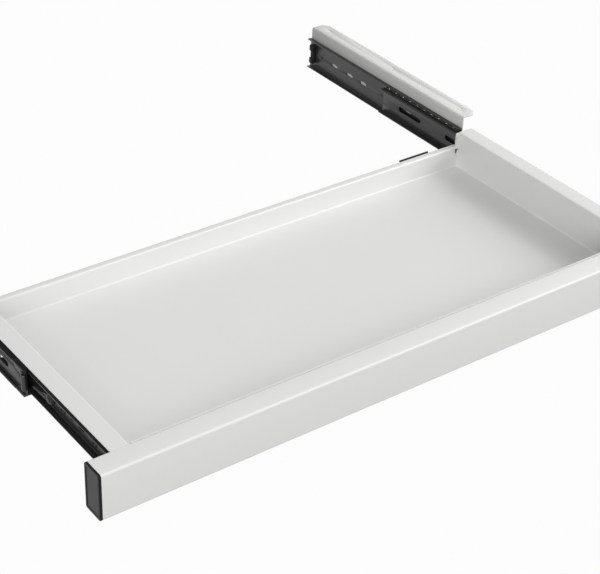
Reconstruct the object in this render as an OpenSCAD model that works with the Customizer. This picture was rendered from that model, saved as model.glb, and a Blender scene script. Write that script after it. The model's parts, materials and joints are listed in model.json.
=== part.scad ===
// Under desk drawer: a folded steel tray behind a box-section front rail. It hangs
// on two telescopic ball slides, each riveted to an angle bracket that is screwed
// to the underside of a desk. The drawer is drawn pulled out by slide_travel.
//
// Origin: middle of the desk screw holes, on the plane of the desk's underside.
// +X is the drawer's right, -Y the way it pulls out, +Z up. Millimetres.

/* [Tray] */
// Clear width between the side walls
tray_in_w = 618.4; // [400:1:900]
// Clear depth from the front wall to the back wall
tray_in_d = 282.2; // [270:0.1:400]
// Side wall height, from the top flange to under the floor
tray_h = 45; // [42:0.5:80]
// Back wall height, from the back flange to under the floor
back_wall_h = 26.5; // [18:0.5:36]
// Sheet thickness of the tray
sheet = 1.2; // [0.8:0.1:1.6]
// Width of each side flange past the wall
side_flange_w = 18.2; // [12:0.1:19]
// Width of the back flange past the wall
back_flange_w = 7.6; // [5:0.1:20]
// Height of the lip turned down behind the back flange
back_lip_h = 8; // [4:0.5:12]
// Inside radius of the bends round the floor
floor_bend_r = 2; // [0.5:0.1:4]
// Inside radius of the bends under the flanges
flange_bend_r = 1; // [0.4:0.1:2]
// Width of the tab turned in at the rear of each side wall
corner_tab_w = 4; // [2:0.5:12]

/* [Front rail] */
// Height of the box section
rail_h = 50; // [47:1:90]
// Depth of the box section
rail_d = 25; // [20:1:40]
// Wall of the box section
rail_wall = 1.5; // [1:0.1:2.5]
// Outside corner radius of the box section
rail_corner_r = 2.4; // [1:0.1:4]
// How far the box section runs past each side flange
rail_overhang = 22.65; // [18:0.05:40]
// Thickness of the end cap's face
cap_face = 2.5; // [1.5:0.1:5]
// Length of the end cap's plug
cap_plug_l = 14; // [6:1:30]
// Width of the rim round the end cap's sunk panel
cap_rim = 2.6; // [1.5:0.1:5]
// Depth of the end cap's sunk panel
cap_recess = 0.5; // [0.2:0.1:1.2]

/* [Slides] */
// Travel of the drawer
slide_travel = 300; // [200:5:320]
// Length of the cabinet member and its bracket
slide_l = 300; // [280:5:400]
// Length of the drawer member
drawer_member_l = 220; // [215:1:280]
// How far the intermediate member stops behind the cabinet member's front
inter_setback = 8; // [4:1:12]
// Depth of the slides' centre line under the tray's top
slide_drop = 27.9; // [26:0.1:30]
// Height of the drawer member
drawer_member_h = 23.2; // [20:0.1:24]
// Depth of the drawer member's channel
drawer_member_d = 7.65; // [7.4:0.05:8.5]
// Sheet thickness of the slide members
slide_sheet = 1.2; // [1:0.1:1.3]
// Radius of the bearing balls
ball_r = 1.5; // [1.2:0.05:1.6]
// Gap between two members' flanges, where the balls run
race_gap = 2.95; // [2.8:0.05:3.2]
// Outer lip of the intermediate member, beyond its web
inter_lip = 3.3; // [3.2:0.1:4]
// Height by which the intermediate member's middle band stands proud
band_rise = 0.7; // [0.3:0.1:1]
// How far the rear stop lies inside the cabinet member's rear end
stop_inset = 3.7; // [1:0.1:12]
// Height of the slots in the intermediate member
slot_h = 6.5; // [4:0.5:8]
// Length of the slots in the intermediate member
slot_l = 42; // [20:1:50]
// Thickness of the ball cages
cage_t = 0.5; // [0.4:0.05:0.6]

/* [Brackets] */
// Thickness of the brackets
bracket_t = 1.5; // [1.2:0.1:2]
// Width of a bracket's top flange past its upright
bracket_flange_w = 21; // [16:0.5:22]
// Height of a bracket's upright
bracket_h = 48; // [44:1:56]
// Gap between the tray's top and the desk's underside
desk_gap = 6; // [4:0.5:12]
// Radius of the desk screw holes
desk_hole_r = 2.5; // [2:0.25:3.5]
// Distance from the front desk screw hole to the rear one
desk_hole_pitch = 260; // [200:5:264]
// Distance from a bracket's bend side to the line of the desk screw holes
desk_hole_inset = 11; // [9:0.5:12]

/* [Fasteners] */
// Height of the weld nuts on the tray's walls
nut_h = 4.5; // [3.5:0.1:6]
// Width of the weld nuts across their flats
nut_flats = 8; // [7:0.1:9]
// Radius of the slide screws' shank
screw_r = 2; // [1.5:0.1:2.2]
// Radius of the slide screws' head
screw_head_r = 4; // [3.2:0.1:4.4]
// Height of the slide screws' head
screw_head_h = 2.2; // [1.5:0.1:2.6]
// Radius of the rivets' shank
rivet_r = 2.4; // [1.6:0.1:2.8]
// Radius of the rivets' head
rivet_head_r = 4.6; // [3.6:0.1:5]
// Height of the rivets' head
rivet_head_h = 1.3; // [0.8:0.1:1.8]
// Number of rivets that hold the rail
rail_rivet_count = 5; // [3:1:7]

/* [Rear buffer] */
// Length of the rubber buffer on the back lip
buffer_l = 42; // [20:1:120]
// Thickness of the rubber buffer
buffer_t = 2; // [1:0.5:5]
// How far the buffer stands above the back flange
buffer_proud = 0.6; // [0:0.1:2]
// Distance from the right side wall to the buffer
buffer_inset = 38; // [10:1:200]

/* [Hidden] */
$fn = 48;

// Clearances
free = 0.3;           // between pieces that slide past each other
pocket_free = 0.05;   // between a ball and its pocket in the cage
pivot_free = 0.06;    // between the lever's bore and its rivet
thread_free = 0.05;   // between a screw and its nut
plug_free = 0.15;     // between the cap's plug and the box section
seam = 0.25;          // between the front clip and the steel round it
rail_clear = 2;       // between the closed rail and the brackets
through = 1;          // how far a cut runs past the face it starts from

// Heights
tray_top = -desk_gap;
tray_bottom = tray_top - tray_h;
floor_top = tray_bottom + sheet;
back_top = tray_bottom + back_wall_h;
slide_z = tray_top - slide_drop;
bend_out_r = flange_bend_r + sheet;
floor_out_r = floor_bend_r + sheet;

// Rear stop in the cabinet member
stop_l = 6;
stop_half = 13;

// Places along Y, with the drawer pulled out
rail_back_y = -slide_l / 2 - rail_clear - slide_travel;
rail_front_y = rail_back_y - rail_d;
tray_in_front_y = rail_back_y + sheet;
tray_in_back_y = tray_in_front_y + tray_in_d;
tray_rear_y = tray_in_back_y + sheet;
flange_rear_y = tray_rear_y + back_flange_w;
drawer_member_y = -slide_l / 2 - slide_travel;
inter_y = -slide_l / 2 + inter_setback - slide_travel / 2;
cabinet_y = -slide_l / 2;
inter_closed_y = inter_y + slide_travel / 2;
stop_y = cabinet_y + slide_l - stop_inset - stop_l;
inter_l = stop_y - free - inter_closed_y;

// Places along X on the right hand side, from the tray's wall outwards
wall_in_x = tray_in_w / 2;
wall_out_x = wall_in_x + sheet;
flange_edge_x = wall_out_x + side_flange_w;
drawer_back_x = wall_out_x + nut_h;
drawer_web_x = drawer_back_x + slide_sheet;
drawer_lip_x = drawer_back_x + drawer_member_d;
inner_cage_x = drawer_lip_x + free;
inter_in_x = inner_cage_x + cage_t + free;
inter_out_x = inter_in_x + slide_sheet;
inter_lip_x = inter_out_x + inter_lip;
outer_cage_x = inter_lip_x + free;
cabinet_in_x = outer_cage_x + cage_t + free;
cabinet_out_x = cabinet_in_x + slide_sheet;
bracket_out_x = cabinet_out_x + bracket_t;
bracket_edge_x = bracket_out_x + bracket_flange_w;
rail_end_x = flange_edge_x + rail_overhang;
inner_race_x = (drawer_web_x + drawer_lip_x) / 2;
outer_race_x = (inter_out_x + inter_lip_x) / 2;
race_edge = 0.6;      // flange left beyond the groove of a race
race_groove_r = ball_r + free;
inter_edge_x = inner_race_x - race_groove_r - race_edge;
cabinet_edge_x = outer_race_x - race_groove_r - race_edge;

// Half heights of the slide members about their centre line
drawer_half = drawer_member_h / 2;
inter_half = drawer_half + race_gap + slide_sheet;
cabinet_half = inter_half + race_gap + slide_sheet;
inner_race_z = drawer_half + race_gap / 2;
outer_race_z = inter_half + race_gap / 2;
band_half = 5.7;      // half height of the intermediate member's middle band
channel_r = 1.6;      // outside radius of the channels' corners

// Ball cages
cage_lead = 3;        // from the front end of a member to the cage in it
cage_tail = 1.5;      // from the rear end of the inner member to its cage
inner_ball_count = 6;
outer_ball_count = 10;
inner_cage_y = inter_y + cage_lead;
outer_cage_y = cabinet_y + cage_lead;
inner_cage_l = drawer_member_y + drawer_member_l - cage_tail - inner_cage_y;
outer_cage_l = inter_y + inter_l - cage_tail - outer_cage_y;
cage_rim = 0.55;      // cage left beyond a ball's pocket

// Fastener places, each measured from the front of its own member
cabinet_rivet_places = [25, slide_l / 2, slide_l - 25];
lever_place = 123;
screw_places = [45.5, lever_place - 20, drawer_member_l - 15];
buffer_x = wall_in_x - buffer_inset - buffer_l;

// Release lever
lever_l = 31;
lever_pivot_r = 5;
lever_tip_r = 2;
lever_tip_z = -4;
lever_t = 4.2;
lever_pin_r = 1.8;

// Front clip of the intermediate member
clip_l = 22;
clip_lip_l = 17;
tongue_r = 8;
tongue_z = -4;
nose_r = 2.65;
nose_half = 8.5;

// Draws its children on the right, or mirrored on the left
module on_side(side) {
    if (side == "right") children();
    else mirror([1, 0, 0]) children();
}

// Draws a slide's children on the right, or on the left. Both slides are one part,
// so the right one is the left one turned half round about Y.
module on_slide(side) {
    if (side == "right") translate([0, 0, 2 * slide_z]) mirror([0, 0, 1]) children();
    else mirror([1, 0, 0]) children();
}

// Runs a section drawn in X and Z from y0 along +Y
module along_y(y0, length) {
    translate([0, y0 + length, 0]) rotate([90, 0, 0]) linear_extrude(length) children();
}

// Runs a section drawn in Y and Z from x0 along +X
module along_x(x0, length) {
    translate([x0, 0, 0]) rotate([90, 0, 90]) linear_extrude(length) children();
}

// A round bar from a point along +X
module pin_x(x0, y, z, r, length) {
    translate([x0, y, z]) rotate([0, 90, 0]) cylinder(r = r, h = length);
}

// A flat rectangle from its lower to its upper corner
module rect(x0, z0, x1, z1) {
    translate([x0, z0]) square([x1 - x0, z1 - z0]);
}

// A flat rectangle with round corners
module round_rect(x0, z0, x1, z1, r) {
    rect(x0 + r, z0, x1 - r, z1);
    rect(x0, z0 + r, x1, z1 - r);
    for (x = [x0 + r, x1 - r], z = [z0 + r, z1 - r]) translate([x, z]) circle(r);
}

// A quarter of a bent sheet round (x, z), in the quadrant that sx and sz point to
module bend(x, z, sx, sz, r_in, t) {
    translate([x, z]) intersection() {
        difference() {
            circle(r_in + t);
            circle(r_in);
        }
        rect(min(0, sx) * (r_in + t), min(0, sz) * (r_in + t),
            max(0, sx) * (r_in + t), max(0, sz) * (r_in + t));
    }
}

// A flat slot along its first axis
module slot(y, z, length, height) {
    r = height / 2;
    rect(y - length / 2 + r, z - r, y + length / 2 - r, z + r);
    for (end = [-1, 1]) translate([y + end * (length / 2 - r), z]) circle(r);
}

// A low head that rises along +X from x0 and narrows over its outer half
module head_x(x0, y, z, r, h) {
    pin_x(x0, y, z, r, h / 2);
    translate([x0 + h / 2, y, z]) rotate([0, 90, 0]) cylinder(r1 = r, r2 = r * 0.65, h = h / 2);
}

// ---- tray and rail ----

module half_tray_section() {
    rect(-through, tray_bottom, wall_in_x - floor_bend_r, floor_top);
    bend(wall_in_x - floor_bend_r, floor_top + floor_bend_r, 1, -1, floor_bend_r, sheet);
    rect(wall_in_x, floor_top + floor_bend_r, wall_out_x, tray_top - bend_out_r);
    bend(wall_in_x + bend_out_r, tray_top - bend_out_r, -1, 1, flange_bend_r, sheet);
    rect(wall_in_x + bend_out_r, tray_top - sheet, flange_edge_x, tray_top);
}

module back_bend_section() {
    rect(tray_in_back_y - through - floor_bend_r, tray_bottom,
        tray_in_back_y - floor_bend_r, floor_top);
    bend(tray_in_back_y - floor_bend_r, floor_top + floor_bend_r, 1, -1, floor_bend_r, sheet);
}

module back_wall_section() {
    lip_y = flange_rear_y - bend_out_r;
    rect(tray_in_back_y, floor_top + floor_bend_r, tray_rear_y, back_top - bend_out_r);
    bend(tray_in_back_y + bend_out_r, back_top - bend_out_r, -1, 1, flange_bend_r, sheet);
    rect(tray_in_back_y + bend_out_r, back_top - sheet, lip_y, back_top);
    bend(lip_y, back_top - bend_out_r, 1, 1, flange_bend_r, sheet);
    rect(flange_rear_y - sheet, back_top - back_lip_h, flange_rear_y, back_top - bend_out_r);
}

module tray_pan() {
    color("whitesmoke") difference() {
        union() {
            for (side = ["left", "right"]) on_side(side) {
                along_y(rail_back_y, tray_in_back_y - rail_back_y - floor_bend_r)
                    half_tray_section();
                along_y(tray_in_back_y - floor_bend_r - through,
                    floor_bend_r + through + sheet) intersection() {
                    half_tray_section();
                    rect(wall_in_x, tray_bottom + floor_out_r, flange_edge_x, tray_top);
                }
                along_x(wall_in_x - corner_tab_w, corner_tab_w + sheet / 2)
                    rect(tray_in_back_y, back_top - back_lip_h, tray_rear_y, tray_top - sheet);
            }
            along_x(floor_bend_r - wall_in_x, 2 * (wall_in_x - floor_bend_r))
                back_bend_section();
            along_x(-wall_in_x, 2 * wall_in_x) back_wall_section();
            along_x(-wall_in_x, 2 * wall_in_x)
                rect(rail_back_y, tray_bottom, tray_in_front_y, tray_top);
        }
        rail_rivet_holes();
    }
}

module at_rail_rivets() {
    pitch = tray_in_w / rail_rivet_count;
    for (i = [0:rail_rivet_count - 1])
        translate([(i - (rail_rivet_count - 1) / 2) * pitch, rail_back_y,
            (tray_top + tray_bottom) / 2]) rotate([0, 0, 90]) children();
}

module rail_rivet_holes() {
    at_rail_rivets() pin_x(-rail_wall - through, 0, 0, rivet_r, rail_wall + sheet + 2 * through);
}

module rail_rivets() {
    bulb_h = 2.5;
    color("silver") at_rail_rivets() {
        pin_x(-rail_wall, 0, 0, rivet_r, rail_wall + sheet);
        head_x(sheet, 0, 0, rivet_head_r, rivet_head_h);
        pin_x(-rail_wall - bulb_h, 0, 0, rivet_r * 1.4, bulb_h);
    }
}

module rail_outline(inset, r) {
    round_rect(rail_front_y + inset, tray_top - rail_h + inset,
        rail_back_y - inset, tray_top - inset, r);
}

module front_rail() {
    inner_r = max(0.3, rail_corner_r - rail_wall);
    color("whitesmoke") difference() {
        along_x(-rail_end_x, 2 * rail_end_x) rail_outline(0, rail_corner_r);
        along_x(-rail_end_x - through, 2 * (rail_end_x + through))
            rail_outline(rail_wall, inner_r);
        rail_rivet_holes();
    }
}

module end_cap(side) {
    plug_inset = rail_wall + plug_free;
    plug_wall = 1.6;
    plug_r = max(0.3, rail_corner_r - plug_inset);
    color("black") on_side(side) {
        difference() {
            along_x(rail_end_x, cap_face) rail_outline(0, rail_corner_r);
            along_x(rail_end_x + cap_face - cap_recess, cap_recess + through)
                rail_outline(cap_rim, 1.2);
        }
        difference() {
            along_x(rail_end_x - cap_plug_l, cap_plug_l) rail_outline(plug_inset, plug_r);
            along_x(rail_end_x - cap_plug_l - through, cap_plug_l + through - plug_wall)
                rail_outline(plug_inset + plug_wall, 0.6);
        }
    }
}

module rear_buffer() {
    color("black") along_x(buffer_x, buffer_l)
        rect(flange_rear_y, back_top - back_lip_h + 1, flange_rear_y + buffer_t,
            back_top + buffer_proud);
}

// ---- drawer member and what it carries ----

module at_screws() {
    for (place = screw_places) translate([0, drawer_member_y + place, slide_z]) children();
}

module weld_nuts(side) {
    color("silver") on_side(side) at_screws() difference() {
        translate([wall_out_x, 0, 0]) rotate([0, 90, 0])
            cylinder(r = nut_flats / 2 / cos(30), h = nut_h, $fn = 6);
        pin_x(wall_out_x - through, 0, 0, screw_r + thread_free, nut_h + 2 * through);
    }
}

module slide_screws(side) {
    shank = nut_h + slide_sheet - 0.5;
    cross_w = 0.9;
    cross_l = screw_head_r * 1.1;
    cross_d = screw_head_h * 0.55;
    color("dimgray") on_side(side) at_screws() difference() {
        union() {
            pin_x(drawer_web_x - shank, 0, 0, screw_r, shank);
            head_x(drawer_web_x, 0, 0, screw_head_r, screw_head_h);
        }
        for (turn = [0, 90]) translate([drawer_web_x + screw_head_h - cross_d, 0, 0])
            rotate([turn, 0, 0]) translate([0, -cross_l / 2, -cross_w / 2])
                cube([cross_d + through, cross_l, cross_w]);
    }
}

// A channel section: the back of its web lies at x_back, its flanges end at x_lip
module channel(x_back, x_lip, half) {
    depth = abs(x_lip - x_back);
    inner_r = channel_r - slide_sheet;
    translate([x_back, slide_z]) mirror([x_lip > x_back ? 0 : 1, 0]) intersection() {
        difference() {
            round_rect(0, -half, 2 * depth, half, channel_r);
            round_rect(slide_sheet, slide_sheet - half, 3 * depth, half - slide_sheet, inner_r);
        }
        rect(0, -half, depth, half);
    }
}

// The four grooves in which the balls run
module race_grooves(x, z) {
    for (end = [-1, 1]) translate([x, slide_z + end * z]) circle(race_groove_r);
}

module drawer_member(side) {
    notch_y = drawer_member_y + 25;
    notch_l = 12;
    notch_d = 2.5;
    color("black") on_side(side) difference() {
        along_y(drawer_member_y, drawer_member_l) difference() {
            channel(drawer_back_x, drawer_lip_x, drawer_half);
            race_grooves(inner_race_x, inner_race_z);
        }
        at_screws() pin_x(drawer_back_x - through, 0, 0, screw_r + 0.2,
            slide_sheet + 2 * through);
        pin_x(drawer_back_x - through, drawer_member_y + lever_place, slide_z, lever_pin_r,
            slide_sheet + 2 * through);
        translate([drawer_lip_x - notch_d, notch_y, slide_z + drawer_half - slide_sheet * 2])
            cube([notch_d + through, notch_l, slide_sheet * 3]);
    }
}

module lever_outline() {
    tip_y = lever_l - lever_tip_r;
    circle(lever_pivot_r);
    translate([tip_y, lever_tip_z]) circle(lever_tip_r);
    polygon([[0, -lever_pivot_r], [tip_y, lever_tip_z - lever_tip_r],
        [tip_y, lever_tip_z + lever_tip_r], [lever_l * 0.45, 0], [0, lever_pivot_r]]);
}

module release_lever(side) {
    x0 = drawer_web_x + free;
    color("dimgray") on_slide(side) translate([0, drawer_member_y + lever_place, slide_z])
        difference() {
            along_x(x0, lever_t) lever_outline();
            pin_x(x0 - through, 0, 0, lever_pin_r + pivot_free, lever_t + 2 * through);
        }
}

module lever_rivet(side) {
    x0 = drawer_web_x + free + lever_t + free;
    color("silver") on_side(side) translate([0, drawer_member_y + lever_place, slide_z]) {
        pin_x(drawer_back_x, 0, 0, lever_pin_r, x0 - drawer_back_x);
        head_x(x0, 0, 0, lever_pin_r * 1.7, 0.8);
    }
}

// ---- ball cages ----

// A thin channel with two rows of pockets, with its web at x_web
module ball_cage(x_web, x_race, race_z, y0, length, count) {
    strip_half = cage_t / 2;
    edge_x = x_race - ball_r - pocket_free - cage_rim;
    window_half = race_z - 5;
    pitch = length / count;
    difference() {
        along_y(y0, length) {
            rect(x_web, slide_z - race_z - strip_half, x_web + cage_t,
                slide_z + race_z + strip_half);
            for (end = [-1, 1]) rect(edge_x, slide_z + end * race_z - strip_half,
                x_web + cage_t, slide_z + end * race_z + strip_half);
        }
        along_x(x_web - through, cage_t + 2 * through)
            slot(y0 + length / 2, slide_z, length - 12, window_half * 2);
        for (i = [0:count - 1]) translate([x_race, y0 + (i + 0.5) * pitch,
            slide_z - race_z - through])
            cylinder(r = ball_r + pocket_free, h = 2 * (race_z + through));
    }
}

module ball_rows(x_race, race_z, y0, length, count) {
    pitch = length / count;
    for (i = [0:count - 1], end = [-1, 1])
        translate([x_race, y0 + (i + 0.5) * pitch, slide_z + end * race_z]) sphere(ball_r);
}

module inner_cage(side) {
    color("gray") on_side(side) ball_cage(inner_cage_x, inner_race_x, inner_race_z,
        inner_cage_y, inner_cage_l, inner_ball_count);
}

module inner_balls(side) {
    color("silver") on_side(side) ball_rows(inner_race_x, inner_race_z,
        inner_cage_y, inner_cage_l, inner_ball_count);
}

module outer_cage(side) {
    color("gray") on_side(side) ball_cage(outer_cage_x, outer_race_x, outer_race_z,
        outer_cage_y, outer_cage_l, outer_ball_count);
}

module outer_balls(side) {
    color("silver") on_side(side) ball_rows(outer_race_x, outer_race_z,
        outer_cage_y, outer_cage_l, outer_ball_count);
}

// ---- intermediate member ----

// The web, from flange to flange, with its middle band standing proud
module inter_web() {
    top = inter_half - slide_sheet / 2;
    steps = [[-top, 0], [-band_half - band_rise, 0], [-band_half, band_rise],
        [band_half, band_rise], [band_half + band_rise, 0], [top, 0]];
    polygon(concat([for (s = steps) [inter_out_x + s[1], slide_z + s[0]]],
        [for (i = [1:len(steps)]) [inter_in_x + steps[len(steps) - i][1],
            slide_z + steps[len(steps) - i][0]]]));
}

module inter_section() {
    difference() {
        union() {
            inter_web();
            for (end = [-1, 1]) {
                z_mid = slide_z + end * (inter_half - slide_sheet / 2);
                rect(inter_edge_x, z_mid - slide_sheet / 2, inter_lip_x,
                    z_mid + slide_sheet / 2);
            }
        }
        race_grooves(inner_race_x, inner_race_z);
        race_grooves(outer_race_x, outer_race_z);
    }
}

// Side outline of the steel taken away for the clip, grown by a margin. The steel
// keeps a round tongue that the clip closes round.
module clip_outline(margin) {
    tongue_y = inter_y + clip_l - tongue_r + 2;
    difference() {
        rect(inter_y - through, slide_z - inter_half - through,
            inter_y + clip_l + margin, slide_z + inter_half + through);
        translate([tongue_y, slide_z + tongue_z]) circle(tongue_r - margin);
        rect(tongue_y, slide_z + tongue_z - tongue_r + margin,
            inter_y + clip_l + through, slide_z + tongue_z + tongue_r - margin);
        rect(inter_y + clip_lip_l + margin, slide_z - inter_half - 2 * through,
            inter_y + clip_l + through, slide_z + tongue_z);
    }
}

module intermediate_member(side) {
    slot_first = 55;
    slot_pitch = 88;
    slot_end = 8;
    slot_count = floor((inter_l - slot_first - slot_l / 2 - slot_end) / slot_pitch) + 1;
    color("black") on_slide(side) difference() {
        along_y(inter_y, inter_l) inter_section();
        along_x(inter_in_x - free, inter_lip_x - inter_in_x + 2) clip_outline(0);
        along_x(inter_in_x - through, slide_sheet + band_rise + 2 * through)
            for (i = [0:slot_count - 1])
                slot(inter_y + slot_first + i * slot_pitch, slide_z, slot_l, slot_h);
    }
}

module front_clip(side) {
    color("dimgray") on_slide(side) {
        intersection() {
            along_y(inter_y, clip_l) intersection() {
                inter_section();
                rect(inter_in_x, slide_z - inter_half, inter_lip_x, slide_z + inter_half);
            }
            along_x(inter_in_x, inter_lip_x - inter_in_x) clip_outline(-seam);
        }
        translate([inter_in_x + nose_r, inter_y + nose_r * 0.6, slide_z - nose_half])
            cylinder(r = nose_r, h = 2 * nose_half);
    }
}

// ---- cabinet member, its rivets, stop and bracket ----

module at_cabinet_rivets() {
    for (place = cabinet_rivet_places) translate([0, cabinet_y + place, slide_z]) children();
}

module cabinet_member(side) {
    color("black") on_side(side) difference() {
        along_y(cabinet_y, slide_l) difference() {
            channel(cabinet_out_x, cabinet_edge_x, cabinet_half);
            race_grooves(outer_race_x, outer_race_z);
        }
        at_cabinet_rivets() pin_x(cabinet_in_x - through, 0, 0, rivet_r,
            slide_sheet + 2 * through);
    }
}

module rear_stop(side) {
    color("black") on_side(side) along_y(stop_y, stop_l)
        round_rect(cabinet_edge_x, slide_z - stop_half, cabinet_in_x,
            slide_z + stop_half, 1.2);
}

module bracket(side) {
    hole_x = bracket_out_x + desk_hole_inset;
    corner = 10;
    out_r = flange_bend_r + bracket_t;
    color("whitesmoke") on_side(side) difference() {
        along_y(-slide_l / 2, slide_l) {
            rect(cabinet_out_x, -bracket_h, bracket_out_x, -out_r);
            bend(cabinet_out_x + out_r, -out_r, -1, 1, flange_bend_r, bracket_t);
            rect(cabinet_out_x + out_r, -bracket_t, bracket_edge_x, 0);
        }
        for (i = [-1, 0, 1]) translate([hole_x, i * desk_hole_pitch / 2, -bracket_t - through])
            cylinder(r = desk_hole_r, h = bracket_t + 2 * through);
        at_cabinet_rivets() pin_x(cabinet_out_x - through, 0, 0, rivet_r,
            bracket_t + 2 * through);
        for (end = [-1, 1]) translate([bracket_edge_x, end * slide_l / 2, -bracket_t / 2])
            rotate([0, 0, 45]) cube([corner, corner, 4 * bracket_t], center = true);
    }
}

module cabinet_rivets(side) {
    color("silver") on_side(side) at_cabinet_rivets() {
        pin_x(cabinet_in_x, 0, 0, rivet_r, slide_sheet + bracket_t);
        head_x(bracket_out_x, 0, 0, rivet_head_r, rivet_head_h);
    }
}

tray_pan();
front_rail();
end_cap("left");  // end_cap_left
end_cap("right");  // end_cap_right
rail_rivets();
rear_buffer();
weld_nuts("left");  // weld_nuts_left
weld_nuts("right");  // weld_nuts_right
slide_screws("left");  // slide_screws_left
slide_screws("right");  // slide_screws_right
drawer_member("left");  // drawer_member_left
drawer_member("right");  // drawer_member_right
release_lever("left");  // release_lever_left
release_lever("right");  // release_lever_right
lever_rivet("left");  // lever_rivet_left
lever_rivet("right");  // lever_rivet_right
inner_cage("left");  // inner_cage_left
inner_cage("right");  // inner_cage_right
inner_balls("left");  // inner_balls_left
inner_balls("right");  // inner_balls_right
intermediate_member("left");  // intermediate_member_left
intermediate_member("right");  // intermediate_member_right
front_clip("left");  // front_clip_left
front_clip("right");  // front_clip_right
outer_cage("left");  // outer_cage_left
outer_cage("right");  // outer_cage_right
outer_balls("left");  // outer_balls_left
outer_balls("right");  // outer_balls_right
cabinet_member("left");  // cabinet_member_left
cabinet_member("right");  // cabinet_member_right
rear_stop("left");  // rear_stop_left
rear_stop("right");  // rear_stop_right
bracket("left");  // bracket_left
bracket("right");  // bracket_right
cabinet_rivets("left");  // cabinet_rivets_left
cabinet_rivets("right");  // cabinet_rivets_right
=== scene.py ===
"""Under desk drawer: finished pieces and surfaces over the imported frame.

Every length is in metres. Places come from the boxes of the frame's nodes, and the
sheet gauges and bend radii below are the ones that the parts are made to.
"""
import json
import math

import bmesh
import bpy
from mathutils import Matrix, Vector


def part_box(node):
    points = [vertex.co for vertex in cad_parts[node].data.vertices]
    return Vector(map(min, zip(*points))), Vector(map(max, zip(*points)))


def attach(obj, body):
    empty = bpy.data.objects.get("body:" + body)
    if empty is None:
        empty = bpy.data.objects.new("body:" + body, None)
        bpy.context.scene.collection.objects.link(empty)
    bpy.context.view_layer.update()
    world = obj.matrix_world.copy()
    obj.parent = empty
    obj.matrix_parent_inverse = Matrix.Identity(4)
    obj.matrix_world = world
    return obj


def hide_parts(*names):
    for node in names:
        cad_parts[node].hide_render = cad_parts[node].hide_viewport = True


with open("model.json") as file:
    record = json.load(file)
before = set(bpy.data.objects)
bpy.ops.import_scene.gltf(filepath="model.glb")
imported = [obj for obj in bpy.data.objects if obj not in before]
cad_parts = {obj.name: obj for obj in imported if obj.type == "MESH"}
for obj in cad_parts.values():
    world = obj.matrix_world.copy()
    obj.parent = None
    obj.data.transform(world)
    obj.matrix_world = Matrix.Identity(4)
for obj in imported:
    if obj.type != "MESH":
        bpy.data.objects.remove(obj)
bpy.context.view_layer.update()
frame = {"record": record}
MM = 0.001

# ---- sizes that the boxes don't give ----
TRAY_SHEET = 1.2 * MM
FLOOR_BEND = 2.0 * MM
FLANGE_BEND = 1.0 * MM
BACK_WALL = 26.5 * MM
BACK_FLANGE = 7.6 * MM
BACK_LIP = 8.0 * MM
CORNER_TAB = 4.0 * MM
RAIL_WALL = 1.5 * MM
RAIL_CORNER = 2.4 * MM
RAIL_RIVETS = 5
CAP_FACE = 2.5 * MM
CAP_RIM = 2.6 * MM
CAP_RECESS = 0.5 * MM
PLUG_FREE = 0.15 * MM
PLUG_WALL = 1.6 * MM
SLIDE_SHEET = 1.2 * MM
RACE_DENT = 0.33 * MM
RACE_WIDTH = 3.4 * MM
BALL_RADIUS = 1.5 * MM
BAND_RISE = 0.7 * MM
BAND_HALF = 5.7 * MM
SLOT_LENGTH = 42 * MM
SLOT_HEIGHT = 6.5 * MM
SLOT_FIRST = 55 * MM
SLOT_PITCH = 88 * MM
SLOT_COUNT = 3
CAGE_SHEET = 0.5 * MM
CLIP_LENGTH = 22 * MM
CLIP_LIP = 17 * MM
TONGUE_RADIUS = 8 * MM
TONGUE_DROP = -4 * MM
CLIP_SEAM = 0.25 * MM
CLIP_EASE = 1.6 * MM
WEB_BEND = 0.8 * MM
CHANNEL_BEND = 1.1 * MM
CAGE_BEND = 0.7 * MM
CAGE_WINDOW_MARGIN = 5 * MM
CAGE_WINDOW_END = 6 * MM
POCKET_FREE = 0.05 * MM
SLIDE_EDGE = 0.16 * MM
SCREW_SHANK = 2.0 * MM
SCREW_HOLE = 2.2 * MM
SCREW_PITCH_TO_LEVER = 20 * MM
RECESS_HALF_LENGTH = 1.9 * MM
RECESS_HALF_WIDTH = 0.42 * MM
RECESS_DEPTH = 1.25 * MM
NUT_CHAMFER = 0.5 * MM
NUT_BORE = 2.05 * MM
LEVER_LENGTH = 31 * MM
LEVER_DROP = -4 * MM
LEVER_TIP = 2 * MM
LEVER_HUB = 5 * MM
LEVER_BORE = 1.86 * MM
LEVER_SEAT = 0.8 * MM
OVERSHOOT = 1 * MM
BRACKET_SHEET = 1.5 * MM
DESK_HOLE = 2.5 * MM
BRACKET_CORNER = 10 * MM
FLOOR_DROP = 0.70
TENT_RADIUS = 11.0
TENT_WHITE = 0.98
WORLD_LIGHT = 0.116

# ---- places, all on the right hand side unless they say otherwise ----
rail_low, rail_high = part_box("front_rail")
pan_low, pan_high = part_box("tray_pan")
wall_out_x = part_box("weld_nuts_right")[0].x
wall_in_x = wall_out_x - TRAY_SHEET
tray_rear_y = pan_high.y - BACK_FLANGE
tray_back_y = tray_rear_y - TRAY_SHEET
tray_front_y = rail_high.y + TRAY_SHEET
back_top = pan_low.z + BACK_WALL
drawer_low, drawer_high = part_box("drawer_member_right")
middle_low, middle_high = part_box("intermediate_member_right")
cabinet_low, cabinet_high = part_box("cabinet_member_right")
slide_z = (cabinet_low.z + cabinet_high.z) / 2
drawer_half = (drawer_high.z - drawer_low.z) / 2
middle_half = (middle_high.z - middle_low.z) / 2
cabinet_half = (cabinet_high.z - cabinet_low.z) / 2
inner_cage_low, inner_cage_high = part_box("inner_cage_right")
outer_cage_low, outer_cage_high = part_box("outer_cage_right")
inner_balls_low, inner_balls_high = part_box("inner_balls_right")
outer_balls_low, outer_balls_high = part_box("outer_balls_right")
inner_race_x = (inner_balls_low.x + inner_balls_high.x) / 2
outer_race_x = (outer_balls_low.x + outer_balls_high.x) / 2
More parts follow.
